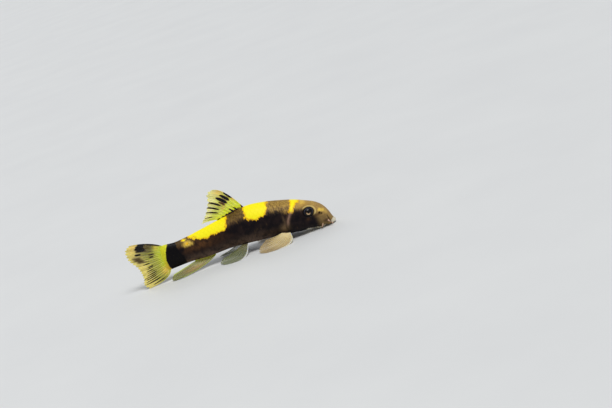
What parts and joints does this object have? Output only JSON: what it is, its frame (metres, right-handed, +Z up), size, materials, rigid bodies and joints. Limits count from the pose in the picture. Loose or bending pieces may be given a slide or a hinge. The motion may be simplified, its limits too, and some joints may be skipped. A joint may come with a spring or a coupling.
{
  "type": "panda garra fish model",
  "caption": "Life-size still model of a small banded bottom-dwelling fish, resting on its sucker mouth, spread paired fins and tail tip.",
  "frame": {"origin": "centre of the fish's length and breadth, on the floor that it rests on", "axes": "+X from the tail towards the snout, +Y towards the fish's left side, +Z up"},
  "size_m": [0.0733, 0.0248, 0.0253],
  "materials": {
    "olive_skin": "moist scaled skin, olive brown over near-black flanks",
    "yellow_bars": "moist scaled skin, bright yellow bars on near-black",
    "tail_band": "moist scaled skin, solid black",
    "banded_fin": "thin moist fin, yellow-green with black bands and streaks",
    "clear_fin": "thin moist fin, pale translucent beige",
    "eye": "clear polished eye, black with a gold ring",
    "lip": "smooth moist skin, whitish pink"
  },
  "bodies": {
    "root": {"head": "olive_skin", "trunk": "yellow_bars", "rear_trunk": "olive_skin", "tail_stalk": "tail_band", "dorsal_fin": "banded_fin", "tail_fin": "banded_fin", "anal_fin": "clear_fin", "pectoral_fin_left": "clear_fin", "pectoral_fin_right": "clear_fin", "pelvic_fin_left": "clear_fin", "pelvic_fin_right": "clear_fin", "eye_left": "eye", "eye_right": "eye", "rostral_barbel_left": "lip", "rostral_barbel_right": "lip", "maxillary_barbel_left": "lip", "maxillary_barbel_right": "lip"}
  },
  "joints": []
}
